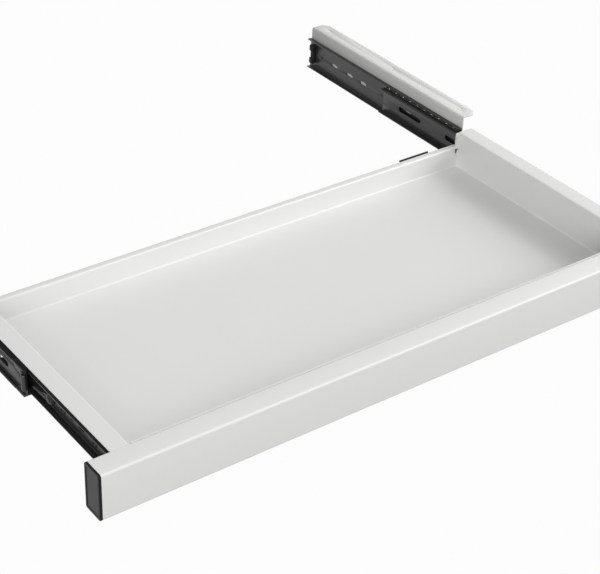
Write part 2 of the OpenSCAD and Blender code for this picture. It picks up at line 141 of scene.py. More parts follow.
inner_race_z = inner_balls_high.z - BALL_RADIUS - slide_z
outer_race_z = outer_balls_high.z - BALL_RADIUS - slide_z
middle_web_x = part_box("front_clip_right")[0].x
CAGES = {
    "inner": (inner_cage_low, inner_cage_high, inner_race_x, inner_race_z, 6),
    "outer": (outer_cage_low, outer_cage_high, outer_race_x, outer_race_z, 10),
}


# ---- mesh tools ----
def along_y(u, v, w):
    """A section drawn in X and Z that runs along Y."""
    return Vector((u, w, v))


def along_x(u, v, w):
    """A section drawn in Y and Z that runs along X."""
    return Vector((w, u, v))


def along_z(u, v, w):
    """A section drawn in X and Y that runs along Z."""
    return Vector((u, v, w))


def new_piece(name, bm):
    """Turns the bmesh into an object with outward faces."""
    bmesh.ops.recalc_face_normals(bm, faces=bm.faces)
    if bm.calc_volume(signed=True) < 0:
        bmesh.ops.reverse_faces(bm, faces=bm.faces)
    mesh = bpy.data.meshes.new(name)
    bm.to_mesh(mesh)
    bm.free()
    piece = bpy.data.objects.new(name, mesh)
    bpy.context.scene.collection.objects.link(piece)
    return piece


def drop(piece):
    """Removes a piece that was only a tool."""
    mesh = piece.data
    bpy.data.objects.remove(piece)
    bpy.data.meshes.remove(mesh)


def settle(piece):
    """Turns the piece's modifiers into plain mesh."""
    bpy.context.view_layer.update()
    graph = bpy.context.evaluated_depsgraph_get()
    mesh = bpy.data.meshes.new_from_object(piece.evaluated_get(graph))
    piece.modifiers.clear()
    old = piece.data
    piece.data = mesh
    bpy.data.meshes.remove(old)
    return piece


def combine(piece, operation, *others):
    """Joins the others to the piece, or cuts them out of it."""
    for other in others:
        step = piece.modifiers.new(operation, "BOOLEAN")
        step.operation = operation
        step.solver = "EXACT"
        step.object = other
    settle(piece)
    for other in others:
        drop(other)
    return piece


def soften(piece, width, segments=2, angle=38):
    """Rounds the piece's edges a little, as a real edge is, and smooths its faces."""
    step = piece.modifiers.new("edges", "BEVEL")
    step.width = width
    step.segments = segments
    step.limit_method = "ANGLE"
    step.angle_limit = math.radians(angle)
    step.use_clamp_overlap = True
    step.miter_outer = "MITER_ARC"
    settle(piece)
    return smooth(piece)


def smooth(piece, angle=30):
    """Smooth faces with sharp edges kept past the angle."""
    for face in piece.data.polygons:
        face.use_smooth = True
    piece.data.set_sharp_from_angle(angle=math.radians(angle))
    return piece


def mirrored(piece, axis, about=0.0):
    """Mirrors the piece's mesh across a plane, and keeps its faces outward."""
    scale = Vector((1, 1, 1))
    shift = Vector((0, 0, 0))
    scale["xyz".index(axis)] = -1
    shift["xyz".index(axis)] = 2 * about
    piece.data.transform(Matrix.Translation(shift) @ Matrix.Diagonal(scale.to_4d()))
    piece.data.flip_normals()
    return piece


def bent_path(corners, radii, steps=8):
    """A path through the corners, with each inner corner rounded to its radius."""
    path = [Vector(corners[0])]
    for before, corner, after, radius in zip(corners, corners[1:], corners[2:], radii):
        here = Vector(corner)
        back = (Vector(before) - here).normalized()
        ahead = (Vector(after) - here).normalized()
        half = back.angle(ahead) / 2
        centre = here + (back + ahead).normalized() * radius / math.sin(half)
        first = here + back * radius / math.tan(half) - centre
        last = here + ahead * radius / math.tan(half) - centre
        start = math.atan2(first.y, first.x)
        turn = math.remainder(math.atan2(last.y, last.x) - start, math.tau)
        for i in range(steps + 1):
            a = start + turn * i / steps
            path.append(centre + Vector((math.cos(a), math.sin(a))) * radius)
    path.append(Vector(corners[-1]))
    return path


def divided(path, step):
    """The path with its long straight stretches cut into short ones."""
    fine = [path[0]]
    for a, b in zip(path, path[1:]):
        count = max(1, math.ceil((b - a).length / step))
        fine += [a.lerp(b, (i + 1) / count) for i in range(count)]
    return fine


def dented(path, x, side, depth):
    """The path with a ball race pressed into its flanges at x, up or down by side."""
    result = []
    for p in path:
        offset = abs(p.x - x) / (RACE_WIDTH / 2)
        level = p.y - slide_z
        if offset < 1 and abs(level) > drawer_half * 0.7:
            away = 1 if level > 0 else -1
            p = p + Vector((0, away * side * depth * math.cos(offset * math.pi / 2) ** 2))
        result.append(p)
    return result


def sides(path, thick):
    """The two faces of a sheet whose middle follows the path."""
    left, right = [], []
    for i, p in enumerate(path):
        before = (p - path[i - 1]).normalized() if i else None
        after = (path[i + 1] - p).normalized() if i + 1 < len(path) else None
        before, after = before or after, after or before
        normal = Vector((-before.y - after.y, before.x + after.x)).normalized()
        reach = thick / 2 / max(0.3, normal.dot(Vector((-before.y, before.x))))
        left.append(p + normal * reach)
        right.append(p - normal * reach)
    return left, right


def folded_strip(name, path, thick, place, start, end):
    """A sheet of the given thickness that follows the path and runs from start to end."""
    bm = bmesh.new()
    left, right = sides(path, thick)
    rows = [[bm.verts.new(place(p.x, p.y, w)) for p in side]
            for side in (left, right) for w in (start, end)]
    left_start, left_end, right_start, right_end = rows
    for i in range(len(path) - 1):
        j = i + 1
        bm.faces.new((left_start[i], left_start[j], left_end[j], left_end[i]))
        bm.faces.new((right_start[i], right_end[i], right_end[j], right_start[j]))
        bm.faces.new((left_start[i], right_start[i], right_start[j], left_start[j]))
        bm.faces.new((left_end[i], left_end[j], right_end[j], right_end[i]))
    for i in (0, -1):
        bm.faces.new((left_start[i], left_end[i], right_end[i], right_start[i]))
    return new_piece(name, bm)


def prism(name, outline, place, start, end):
    """A solid with the given outline that runs from start to end."""
    bm = bmesh.new()
    near = [bm.verts.new(place(u, v, start)) for u, v in outline]
    far = [bm.verts.new(place(u, v, end)) for u, v in outline]
    bm.faces.new(near)
    bm.faces.new(far)
    for i in range(len(outline)):
        bm.faces.new((near[i - 1], near[i], far[i], far[i - 1]))
    return new_piece(name, bm)


def box_piece(name, low, high):
    """A plain block between two corners."""
    outline = [(low[0], low[1]), (high[0], low[1]), (high[0], high[1]), (low[0], high[1])]
    return prism(name, outline, along_z, low[2], high[2])


def round_corners(u0, v0, u1, v1, radius, steps=8):
    """The outline of a rectangle with round corners."""
    outline = []
    for u, v, start in ((u1, v1, 0), (u0, v1, 90), (u0, v0, 180), (u1, v0, 270)):
        cu = u + (radius if u == u0 else -radius)
        cv = v + (radius if v == v0 else -radius)
        for i in range(steps + 1):
            a = math.radians(start + 90 * i / steps)
            outline.append((cu + radius * math.cos(a), cv + radius * math.sin(a)))
    return outline


def loft(name, loops, place, closed_ends=True):
    """A skin over loops of equal length. Each loop is (outline, w)."""
    bm = bmesh.new()
    rings = [[bm.verts.new(place(u, v, w)) for u, v in outline] for outline, w in loops]
    for a, b in zip(rings, rings[1:]):
        for i in range(len(a)):
            bm.faces.new((a[i - 1], a[i], b[i], b[i - 1]))
    if closed_ends:
        bm.faces.new(rings[0])
        bm.faces.new(rings[-1])
    return new_piece(name, bm)


def tube(name, outer, inner, place, start, end):
    """A hollow section that runs from start to end, open at both ends."""
    loops = [(inner, start), (outer, start), (outer, end), (inner, end), (inner, start)]
    piece = loft(name, loops, place, closed_ends=False)
    weld(piece)
    return piece


def weld(piece):
    """Merges points that lie on each other."""
    bm = bmesh.new()
    bm.from_mesh(piece.data)
    bmesh.ops.remove_doubles(bm, verts=bm.verts, dist=1e-7)
    bmesh.ops.recalc_face_normals(bm, faces=bm.faces)
    bm.to_mesh(piece.data)
    bm.free()


def turned(name, profile, place, centre=(0.0, 0.0), steps=40):
    """A turned solid. The profile is (radius, w), and starts and ends on the axis."""
    bm = bmesh.new()
    rings = []
    for radius, w in profile:
        if radius < 1e-9:
            rings.append([bm.verts.new(place(centre[0], centre[1], w))])
            continue
        rings.append([bm.verts.new(place(centre[0] + radius * math.cos(math.tau * i / steps),
                                         centre[1] + radius * math.sin(math.tau * i / steps),
                                         w)) for i in range(steps)])
    for a, b in zip(rings, rings[1:]):
        for i in range(steps):
            corners = [a[(i - 1) % len(a)], a[i % len(a)], b[i % len(b)], b[(i - 1) % len(b)]]
            corners = [c for k, c in enumerate(corners) if c is not corners[k - 1]]
            bm.faces.new(corners)
    return new_piece(name, bm)


def rod(name, radius, start, end, place, centre=(0.0, 0.0), steps=40):
    """A plain round bar, mostly used to bore a hole."""
    return turned(name, [(0.0, start), (radius, start), (radius, end), (0.0, end)], place,
                  centre, steps)


def slot_outline(y, z, length, height, steps=10):
    """The outline of a slot with round ends."""
    return round_corners(y - length / 2, z - height / 2, y + length / 2, z + height / 2,
                         height / 2 - 1e-6, steps)


def dome_profile(radius, height, base, seat=0.25 * MM, steps=8):
    """A low domed head that rises from base."""
    rise = height - seat
    ball = (radius * radius + rise * rise) / (2 * rise)
    widest = math.asin(min(1.0, radius / ball))
    profile = [(0.0, base), (radius, base)]
    for i in range(steps + 1):
        a = widest * (1 - i / steps)
        profile.append((ball * math.sin(a), base + seat + rise - ball + ball * math.cos(a)))
    return profile


# ---- copies in rows ----
def copies_tree():
    """A tree that sets a copy of the seed piece on each point, and gives it its finish."""
    tree = bpy.data.node_groups.new("copies_on_points", "GeometryNodeTree")
    tree.is_modifier = True
    tree.interface.new_socket("Points", in_out="INPUT", socket_type="NodeSocketGeometry")
    tree.interface.new_socket("Seed", in_out="INPUT", socket_type="NodeSocketObject")
    size = tree.interface.new_socket("Size", in_out="INPUT", socket_type="NodeSocketFloat")
    size.default_value = 1.0
    tree.interface.new_socket("Finish", in_out="INPUT", socket_type="NodeSocketMaterial")
    tree.interface.new_socket("Copies", in_out="OUTPUT", socket_type="NodeSocketGeometry")
    given = tree.nodes.new("NodeGroupInput")
    seed = tree.nodes.new("GeometryNodeObjectInfo")
    spread = tree.nodes.new("GeometryNodeInstanceOnPoints")
    real = tree.nodes.new("GeometryNodeRealizeInstances")
    paint = tree.nodes.new("GeometryNodeSetMaterial")
    result = tree.nodes.new("NodeGroupOutput")
    tree.links.new(given.outputs["Points"], spread.inputs["Points"])
    tree.links.new(given.outputs["Seed"], seed.inputs["Object"])
    tree.links.new(seed.outputs["Geometry"], spread.inputs["Instance"])
    tree.links.new(given.outputs["Size"], spread.inputs["Scale"])
    tree.links.new(spread.outputs["Instances"], real.inputs["Geometry"])
    tree.links.new(real.outputs["Geometry"], paint.inputs["Geometry"])
    tree.links.new(given.outputs["Finish"], paint.inputs["Material"])
    tree.links.new(paint.outputs["Geometry"], result.inputs["Copies"])
    return tree


COPIES = copies_tree()


def copies(name, seed, points, finish, size=1.0):
    """A piece made of a copy of the seed at each point."""
    mesh = bpy.data.meshes.new(name)
    mesh.from_pydata([tuple(p) for p in points], [], [])
    piece = bpy.data.objects.new(name, mesh)
    bpy.context.scene.collection.objects.link(piece)
    step = piece.modifiers.new("copies", "NODES")
    step.node_group = COPIES
    given = {"Seed": seed, "Size": size, "Finish": finish}
    for item in COPIES.interface.items_tree:
        if item.in_out == "INPUT" and item.name in given:
            step[item.identifier] = given[item.name]
    settle(piece)
    drop(seed)
    return smooth(piece)


# ---- surface effects shared by several materials ----
def effect(name, inputs, outputs):
    """An empty shader group with named sockets, and its two end nodes."""
    group = bpy.data.node_groups.new(name, "ShaderNodeTree")
    for label, kind, value in inputs:
        socket = group.interface.new_socket(label, in_out="INPUT", socket_type=kind)
        socket.default_value = value
    for label, kind in outputs:
        group.interface.new_socket(label, in_out="OUTPUT", socket_type=kind)
    return group, group.nodes.new("NodeGroupInput"), group.nodes.new("NodeGroupOutput")


def noise_node(group, scale, detail=3.0, roughness=0.5):
    """A noise texture on Object coordinates."""
    place = group.nodes.new("ShaderNodeTexCoord")
    noise = group.nodes.new("ShaderNodeTexNoise")
    noise.inputs["Scale"].default_value = scale
    noise.inputs["Detail"].default_value = detail
    noise.inputs["Roughness"].default_value = roughness
    group.links.new(place.outputs["Object"], noise.inputs["Vector"])
    return noise


def math_node(group, operation, a, b=None):
    """A math node whose inputs are sockets or numbers."""
    node = group.nodes.new("ShaderNodeMath")
    node.operation = operation
    for socket, value in zip(node.inputs, (a, b)):
        if value is None:
            continue
        if isinstance(value, (int, float)):
            socket.default_value = value
        else:
            group.links.new(value, socket)
    return node.outputs[0]


def paint_grain_effect():
    """The fine orange peel of a sprayed coat: a height, and a slow drift in gloss."""
    group, given, result = effect(
        "paint_grain",
        [("Peel Scale", "NodeSocketFloat", 900.0), ("Gloss", "NodeSocketFloat", 0.4),
         ("Gloss Drift", "NodeSocketFloat", 0.05)],
        [("Height", "NodeSocketFloat"), ("Roughness", "NodeSocketFloat"),
         ("Drift", "NodeSocketFloat")])
    coarse = noise_node(group, 900.0, 2.0)
    group.links.new(given.outputs["Peel Scale"], coarse.inputs["Scale"])
    fine = noise_node(group, 2600.0, 1.0)
    slow = noise_node(group, 14.0, 4.0, 0.55)
    height = math_node(group, "ADD", coarse.outputs[0],
                       math_node(group, "MULTIPLY", fine.outputs[0], 0.35))
    drift = math_node(group, "SUBTRACT", slow.outputs[0], 0.5)
    rough = math_node(group, "ADD", given.outputs["Gloss"],
                      math_node(group, "MULTIPLY", drift, given.outputs["Gloss Drift"]))
    group.links.new(height, result.inputs["Height"])
    group.links.new(rough, result.inputs["Roughness"])
    group.links.new(slow.outputs[0], result.inputs["Drift"])
    return group


def rolled_steel_effect():
    """Lines left along Y by the rolls, and small scuffs."""
    group, given, result = effect(
        "rolled_steel",
        [("Line Scale", "NodeSocketFloat", 1.0), ("Gloss", "NodeSocketFloat", 0.35),
         ("Scuffs", "NodeSocketFloat", 0.15)],
        [("Height", "NodeSocketFloat"), ("Roughness", "NodeSocketFloat"),
         ("Scuff", "NodeSocketFloat")])
    place = group.nodes.new("ShaderNodeTexCoord")
    stretch = group.nodes.new("ShaderNodeMapping")
    stretch.inputs["Scale"].default_value = (1800.0, 22.0, 1800.0)
    lines = group.nodes.new("ShaderNodeTexNoise")
    lines.inputs["Detail"].default_value = 4.0
    group.links.new(place.outputs["Object"], stretch.inputs["Vector"])
    group.links.new(stretch.outputs["Vector"], lines.inputs["Vector"])
    group.links.new(given.outputs["Line Scale"], lines.inputs["Scale"])
    patches = noise_node(group, 160.0, 5.0, 0.6)
    ramp = group.nodes.new("ShaderNodeMapRange")
    ramp.inputs["From Min"].default_value = 0.58
    ramp.inputs["From Max"].default_value = 0.72
    group.links.new(patches.outputs[0], ramp.inputs["Value"])
    scuff = math_node(group, "MULTIPLY", ramp.outputs["Result"], lines.outputs[0])
    rough = math_node(group, "ADD", given.outputs["Gloss"],
                      math_node(group, "MULTIPLY", scuff, given.outputs["Scuffs"]))
    group.links.new(lines.outputs[0], result.inputs["Height"])
    group.links.new(rough, result.inputs["Roughness"])
    group.links.new(scuff, result.inputs["Scuff"])
    return group


def edge_wear_and_highlight_effect():
    """A mask of the outer edges, broken up by noise: partly wear of the coat, partly a painted
    highlight along the edges.
    """
    group, given, result = effect(
        "edge_wear_and_highlight_mask",
        [("Amount", "NodeSocketFloat", 0.5)],
        [("Mask", "NodeSocketFloat")])
    shape = group.nodes.new("ShaderNodeNewGeometry")
    edge = group.nodes.new("ShaderNodeMapRange")
    edge.inputs["From Min"].default_value = 0.53
    edge.inputs["From Max"].default_value = 0.60
    group.links.new(shape.outputs["Pointiness"], edge.inputs["Value"])
    patches = noise_node(group, 420.0, 4.0, 0.6)
    broken = math_node(group, "MULTIPLY", edge.outputs["Result"], patches.outputs[0])
    mask = math_node(group, "MULTIPLY", broken, given.outputs["Amount"])
    group.links.new(mask, result.inputs["Mask"])
    return group


def moulded_grain_effect():
    """The spark-eroded grain of a moulded part."""
    group, given, result = effect(
        "moulded_grain",
        [("Grain Scale", "NodeSocketFloat", 1500.0), ("Gloss", "NodeSocketFloat", 0.5)],
        [("Height", "NodeSocketFloat"), ("Roughness", "NodeSocketFloat"),
         ("Drift", "NodeSocketFloat")])
    place = group.nodes.new("ShaderNodeTexCoord")
    cells = group.nodes.new("ShaderNodeTexVoronoi")
    cells.feature = "SMOOTH_F1"
    group.links.new(place.outputs["Object"], cells.inputs["Vector"])
    group.links.new(given.outputs["Grain Scale"], cells.inputs["Scale"])
    slow = noise_node(group, 45.0, 3.0)
    rough = math_node(group, "ADD", given.outputs["Gloss"],
                      math_node(group, "MULTIPLY", slow.outputs[0], 0.12))
    group.links.new(cells.outputs["Distance"], result.inputs["Height"])
    group.links.new(rough, result.inputs["Roughness"])
    group.links.new(slow.outputs[0], result.inputs["Drift"])
    return group


PAINT_GRAIN = paint_grain_effect()
ROLLED_STEEL = rolled_steel_effect()
EDGE_WEAR_AND_HIGHLIGHT = edge_wear_and_highlight_effect()
MOULDED_GRAIN = moulded_grain_effect()


# ---- materials ----
def blank_material(name, **settings):
    """A material with one Principled shader, set on its own sockets."""
    material = bpy.data.materials.new(name)
    material.use_nodes = True
    shader = material.node_tree.nodes["Principled BSDF"]
    for label, value in settings.items():
        shader.inputs[label.replace("_", " ")].default_value = value
    return material, material.node_tree, shader


def add_effect(tree, group, **values):
    """Places a shared effect in the material, with its own values."""
    node = tree.nodes.new("ShaderNodeGroup")
    node.node_tree = group
    for label, value in values.items():
        node.inputs[label.replace("_", " ")].default_value = value
    return node


def two_tone(tree, mask, first, second):
    """A colour that goes from first to second with the mask."""
    mix = tree.nodes.new("ShaderNodeMix")
    mix.data_type = "RGBA"
    mix.inputs["A"].default_value = (*first, 1.0)
    mix.inputs["B"].default_value = (*second, 1.0)
    tree.links.new(mask, mix.inputs["Factor"])
    return mix.outputs["Result"]


def bump(tree, height, shader, distance, strength=1.0):
    """Feeds the height to the shader as a bump of the given depth."""
    node = tree.nodes.new("ShaderNodeBump")
    node.inputs["Distance"].default_value = distance
    node.inputs["Strength"].default_value = strength
    tree.links.new(height, node.inputs["Height"])
    tree.links.new(node.outputs["Normal"], shader.inputs["Normal"])


def powder_coat(name, tone, gloss, drift, peel, depth):
    """White powder coat: a faint peel, and a slow drift in gloss and tone."""
    material, tree, shader = blank_material(name, Specular_IOR_Level=0.5)
    grain = add_effect(tree, PAINT_GRAIN, Peel_Scale=peel, Gloss=gloss, Gloss_Drift=drift)
    dimmer = tuple(c * 0.975 for c in tone)
    tree.links.new(two_tone(tree, grain.outputs["Drift"], tone, dimmer),
                   shader.inputs["Base Color"])
    tree.links.new(grain.outputs["Roughness"], shader.inputs["Roughness"])
    bump(tree, grain.outputs["Height"], shader, depth)
    return material


def black_slide_coat(name, tone, edge_wear_and_highlight_tone, gloss):
    """Black coat on rolled steel, thinner and paler on the edges; the paler edge tone is partly
    wear and partly a painted highlight.
    """
    material, tree, shader = blank_material(name, Specular_IOR_Level=0.5)
    steel = add_effect(tree, ROLLED_STEEL, Gloss=gloss, Scuffs=0.22)
    # The edge mask lightens the coat: partly wear, partly a painted highlight along the edges.
    edges = add_effect(tree, EDGE_WEAR_AND_HIGHLIGHT, Amount=0.6)
    mask = math_node(tree, "ADD", edges.outputs["Mask"],
                     math_node(tree, "MULTIPLY", steel.outputs["Scuff"], 0.25))
    tree.links.new(two_tone(tree, mask, tone, edge_wear_and_highlight_tone), shader.inputs["Base Color"])
    tree.links.new(steel.outputs["Roughness"], shader.inputs["Roughness"])
    bump(tree, steel.outputs["Height"], shader, 0.012 * MM)
    return material


def moulded_plastic(name, tone, gloss, grain, depth, shine=0.3):
    """Moulded plastic with a fine grain."""
    material, tree, shader = blank_material(name, Specular_IOR_Level=shine)
    cells = add_effect(tree, MOULDED_GRAIN, Grain_Scale=grain, Gloss=gloss)
    lighter = tuple(c * 1.25 for c in tone)
    tree.links.new(two_tone(tree, cells.outputs["Drift"], tone, lighter),
                   shader.inputs["Base Color"])
    tree.links.new(cells.outputs["Roughness"], shader.inputs["Roughness"])
    bump(tree, cells.outputs["Height"], shader, depth)
    return material


def plated_steel(name, tone, dull, gloss):
    """Zinc plate, its tone clouded by noise."""
    material, tree, shader = blank_material(name, Metallic=1.0)
    steel = add_effect(tree, ROLLED_STEEL, Line_Scale=0.6, Gloss=gloss, Scuffs=0.3)
    cloud = noise_node(tree, 320.0, 4.0, 0.6)
    tree.links.new(two_tone(tree, cloud.outputs[0], tone, dull), shader.inputs["Base Color"])
    tree.links.new(steel.outputs["Roughness"], shader.inputs["Roughness"])
    bump(tree, steel.outputs["Height"], shader, 0.006 * MM)
    return material


def bearing_steel(name):
    """Ground balls with a thin film of grease."""
    material, tree, shader = blank_material(name, Metallic=1.0, Coat_Weight=0.4,
                                            Coat_Roughness=0.2)
    film = noise_node(tree, 900.0, 3.0)
    tree.links.new(two_tone(tree, film.outputs[0], (0.74, 0.74, 0.73), (0.6, 0.58, 0.53)),
                   shader.inputs["Base Color"])
    rough = math_node(tree, "MULTIPLY", film.outputs[0], 0.3)
    tree.links.new(rough, shader.inputs["Roughness"])
    return material


WHITE = (0.70, 0.70, 0.69)
tray_paint = powder_coat("tray_powder_coat", WHITE, 0.20, 0.05, 620.0, 0.006 * MM)
rail_paint = powder_coat("rail_powder_coat", WHITE, 0.42, 0.08, 700.0, 0.008 * MM)
bracket_paint = powder_coat("bracket_powder_coat", (0.60, 0.60, 0.59), 0.6, 0.06, 800.0,
                            0.004 * MM)
# The slide coat's paler edge tone is partly wear and partly a painted highlight along the
# edges.
slide_black = black_slide_coat("slide_black_coat", (0.010, 0.010, 0.0105),
                               (0.06, 0.06, 0.06), 0.36)
cap_plastic = moulded_plastic("cap_plastic", (0.006, 0.006, 0.006), 0.42, 1500.0, 0.03 * MM,
                              0.12)
# The cap's sunk panel is the same black plastic as the rim; its paler tone here is painted
# light, the lit outer face.
cap_panel_painted_light = moulded_plastic("cap_panel_painted_light", (0.055, 0.055, 0.055), 0.55, 1100.0,
                                    0.05 * MM, 0.25)
clip_plastic = moulded_plastic("clip_plastic", (0.018, 0.018, 0.0185), 0.3, 1800.0,
                               0.012 * MM, 0.5)
lever_plastic = moulded_plastic("lever_plastic", (0.03, 0.03, 0.031), 0.36, 1800.0, 0.01 * MM)
buffer_rubber = moulded_plastic("buffer_rubber", (0.01, 0.01, 0.01), 0.72, 900.0, 0.02 * MM)
zinc = plated_steel("zinc_plate", (0.62, 0.62, 0.61), (0.48, 0.48, 0.47), 0.3)
cage_steel = plated_steel("cage_steel", (0.42, 0.42, 0.41), (0.32, 0.32, 0.31), 0.36)
black_zinc = plated_steel("black_zinc", (0.06, 0.06, 0.062), (0.035, 0.035, 0.037), 0.34)
ball_steel = bearing_steel("bearing_steel")


def finish(piece, body, slot, material, *nodes):
    """Paints the piece, hangs it on its body and lets it stand for its nodes."""
    if not piece.data.materials:
        piece.data.materials.append(material)
    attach(piece, body)
    if nodes:
        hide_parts(*nodes)
    return piece


def both_sides(make, body, slot, material, node, handed=False):
    """Makes a piece for the right, and its mirror for the left, in place of node_SIDE.

    A handed piece, as in the slides, is one part: the right one is the left turned round.
    """
    for side in ("right", "left"):
        piece = make(side)
        if side == "left":
            mirrored(piece, "x")
        elif handed:
            mirrored(piece, "z", slide_z)
        finish(piece, body.replace("SIDE", side), slot, material, f"{node}_{side}")


# ---- tray ----
def make_tray_pan():
    """The folded tray: floor, walls, flanges, back lip and corner tabs."""
    half = TRAY_SHEET / 2
    top = pan_high.z - half
    bottom = pan_low.z + half
    wall_x = wall_in_x + half
    flange_x = pan_high.x
    floor_r = FLOOR_BEND + half
    flange_r = FLANGE_BEND + half
    corners = [(-flange_x, top), (-wall_x, top), (-wall_x, bottom),
               (wall_x, bottom), (wall_x, top), (flange_x, top)]
    folds = bent_path(corners, [flange_r, floor_r, floor_r, flange_r])
    pan = folded_strip("tray_pan_folded", folds, TRAY_SHEET, along_y,
                       rail_high.y, tray_rear_y)
    clear = 1 * MM
    bend_y = FLOOR_BEND + TRAY_SHEET
    low = pan_low.z - clear
    high = pan_low.z + bend_y
    wide = wall_out_x + clear
    back_cut = box_piece("back_cut", (-wide, tray_rear_y - bend_y, low),
                         (wide, tray_rear_y + clear, high))
    inner = wall_in_x - FLOOR_BEND
    front_cut = box_piece("front_cut", (-inner, rail_high.y - clear, low),
                          (inner, rail_high.y + bend_y, high))
    combine(pan, "DIFFERENCE", back_cut, front_cut)
    lap = 4 * MM
    wall_y = tray_back_y + half
    lip_y = pan_high.y - half
    shelf = back_top - half
    back = bent_path([(wall_y - floor_r - lap, bottom), (wall_y, bottom), (wall_y, shelf),
                      (lip_y, shelf), (lip_y, back_top - BACK_LIP)],
                     [floor_r, flange_r, flange_r])
    back_wall = folded_strip("back_wall", back, TRAY_SHEET, along_x, -wall_in_x, wall_in_x)
    for side in (-1, 1):
        notch = sorted((side * inner, side * wide))
        combine(back_wall, "DIFFERENCE",
                box_piece("corner_notch", (notch[0], tray_rear_y - bend_y - lap - clear, low),
                          (notch[1], tray_rear_y + clear, high)))
    front_y = rail_high.y + half
    front = bent_path([(front_y, pan_high.z), (front_y, bottom),
                       (front_y + floor_r + lap, bottom)], [floor_r])
    front_wall = folded_strip("front_wall", front, TRAY_SHEET, along_x, -inner, inner)
    tabs = [box_piece("corner_tab",
                      (min(side * (wall_in_x - CORNER_TAB), side * wall_out_x), tray_back_y,
                       back_top - BACK_LIP),
                      (max(side * (wall_in_x - CORNER_TAB), side * wall_out_x), tray_rear_y,
                       pan_high.z - half))
            for side in (-1, 1)]
    combine(pan, "UNION", back_wall, front_wall, *tabs)
    soften(pan, 0.22 * MM)
    corners = [pressed_corner(side) for side in (-1, 1)]
    toes = [flange_toe(side) for side in (-1, 1)]
    return joined("tray_pan_painted", [pan] + corners + toes)


def pressed_corner(side):
    """The cupped corner where a side bend, the back bend and the floor meet."""
    centre = Vector((side * (wall_in_x - FLOOR_BEND), tray_back_y - FLOOR_BEND,
                     pan_low.z + TRAY_SHEET + FLOOR_BEND))
    bm = bmesh.new()
    shells = []
    count = 8
    for radius in (FLOOR_BEND, FLOOR_BEND + TRAY_SHEET):
        rows = []
        for i in range(count + 1):
            tilt = math.pi / 2 * i / count
            ring = []
            for j in range(count + 1):
                turn = math.pi / 2 * j / count
                ring.append(bm.verts.new(centre + radius * Vector((
                    side * math.cos(tilt) * math.cos(turn),
                    math.cos(tilt) * math.sin(turn), -math.sin(tilt)))))
            rows.append(ring)
        shells.append(rows)
    inner, outer = shells
    for rows in shells:
        for i in range(count):
            for j in range(count):
                bm.faces.new((rows[i][j], rows[i][j + 1], rows[i + 1][j + 1],
                              rows[i + 1][j]))
    for k in range(count):
        bm.faces.new((inner[0][k], inner[0][k + 1], outer[0][k + 1], outer[0][k]))
        for edge in (0, count):
            bm.faces.new((inner[k][edge], inner[k + 1][edge], outer[k + 1][edge],
                          outer[k][edge]))
    bmesh.ops.remove_doubles(bm, verts=bm.verts, dist=1e-7)
    return smooth(new_piece("pressed_corner", bm))


def flange_toe(side):
    """The dressed weld that fills the rail's rounded edge in front of a flange."""
    top = rail_high.z - 0.12 * MM
    centre = (rail_high.y - RAIL_CORNER, rail_high.z - RAIL_CORNER)
    radius = RAIL_CORNER - 0.02 * MM
    outline = [(rail_high.y + 0.3 * MM, top), (rail_high.y + 0.3 * MM, rail_high.z - MM)]
    for i in range(9):
        a = math.radians(30 + 42 * i / 8)
        outline.append((centre[0] + radius * math.cos(a), centre[1] + radius * math.sin(a)))
    x0, x1 = sorted((side * wall_in_x, side * (pan_high.x - 0.3 * MM)))
    return smooth(prism("flange_toe", outline, along_x, x0, x1))


# ---- front rail and its caps ----
def rail_outline(inset, radius, steps=10):
    """The rail's outline in Y and Z, drawn in by inset."""
    return round_corners(rail_low.y + inset, rail_low.z + inset,
                         rail_high.y - inset, rail_high.z - inset, radius, steps)


def make_front_rail():
    """The box section."""
    rail = tube("front_rail_section", rail_outline(0, RAIL_CORNER),
                rail_outline(RAIL_WALL, RAIL_CORNER - RAIL_WALL), along_x,
                rail_low.x, rail_high.x)
    return smooth(rail, 50)


